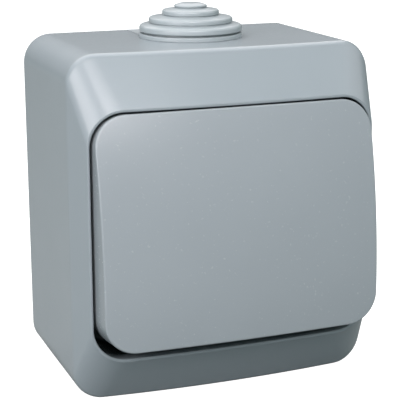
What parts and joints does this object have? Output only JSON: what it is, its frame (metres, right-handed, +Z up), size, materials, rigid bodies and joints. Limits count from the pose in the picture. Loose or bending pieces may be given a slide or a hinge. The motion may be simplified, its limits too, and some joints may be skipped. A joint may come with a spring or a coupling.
{
  "type": "surface-mounted rocker switch",
  "caption": "Outdoor rocker light switch for surface mounting: bowed hood over a wall box, tilting rocker in a recess, and a stepped rubber cable entry on top.",
  "frame": {"origin": "middle of the back face, which lies on the wall", "axes": "+Z up along the tall side of the hood, +Y into the wall, +X to the right seen from the front"},
  "size_m": [0.074, 0.0558, 0.0891],
  "materials": {
    "shell_plastic": "smooth light grey, semi-gloss",
    "rocker_plastic": "smooth light grey, semi-gloss",
    "base_plastic": "fine matt grey",
    "mechanism_plastic": "matt off-white",
    "plunger_plastic": "waxy white",
    "seal_rubber": "soft black foam rubber",
    "grommet_rubber": "soft light grey, slightly satin",
    "screw_steel": "plain stainless",
    "spring_steel": "bright drawn wire",
    "terminal_brass": "bright stamped brass",
    "contact_silver": "bright silver alloy"
  },
  "bodies": {
    "housing": {"cover": "shell_plastic", "base": "base_plastic", "mechanism_body": "mechanism_plastic", "mechanism_lid": "mechanism_plastic", "cover_seal": "seal_rubber", "window_seal": "seal_rubber", "cover_screw_seal_left": "seal_rubber", "cover_screw_seal_right": "seal_rubber", "entry_grommet": "grommet_rubber", "cover_screw_left": "screw_steel", "cover_screw_right": "screw_steel", "mechanism_screw_left": "screw_steel", "mechanism_screw_right": "screw_steel", "terminal_screw_common": "screw_steel", "terminal_screw_upper": "screw_steel", "terminal_screw_lower": "screw_steel", "earth_terminal_screw": "screw_steel", "rocker_axle": "screw_steel", "lever_pin": "screw_steel", "terminal_common": "terminal_brass", "terminal_upper": "terminal_brass", "terminal_lower": "terminal_brass", "earth_terminal": "terminal_brass", "fixed_contact_upper": "contact_silver", "fixed_contact_lower": "contact_silver"},
    "rocker": {"rocker": "rocker_plastic", "rocker_carrier": "mechanism_plastic", "toggle_spring": "spring_steel"},
    "plunger": {"toggle_plunger": "plunger_plastic"},
    "contact_lever": {"contact_lever": "terminal_brass", "moving_contact_upper": "contact_silver", "moving_contact_lower": "contact_silver"}
  },
  "joints": [
    {"name": "rocker_tilt", "type": "hinge", "parent": "housing", "child": "rocker", "pos_m": [0, -0.03748, 0], "axis": [1, 0, 0], "range_deg": [0, 14.24]},
    {"name": "toggle_plunger_slide", "type": "slide", "parent": "rocker", "child": "plunger", "axis": [0, -0.9923, 0.1239], "range_m": [0, 0.0012], "stiffness_N_per_m": 300, "deforming": ["toggle_spring"]},
    {"name": "contact_lever_tilt", "type": "hinge", "parent": "housing", "child": "contact_lever", "pos_m": [0, -0.017, 0], "axis": [1, 0, 0], "range_deg": [-10, 0]}
  ],
  "couplings": [
    {"joint": "contact_lever_tilt", "follows": "rocker_tilt", "ratio": -0.702}
  ]
}
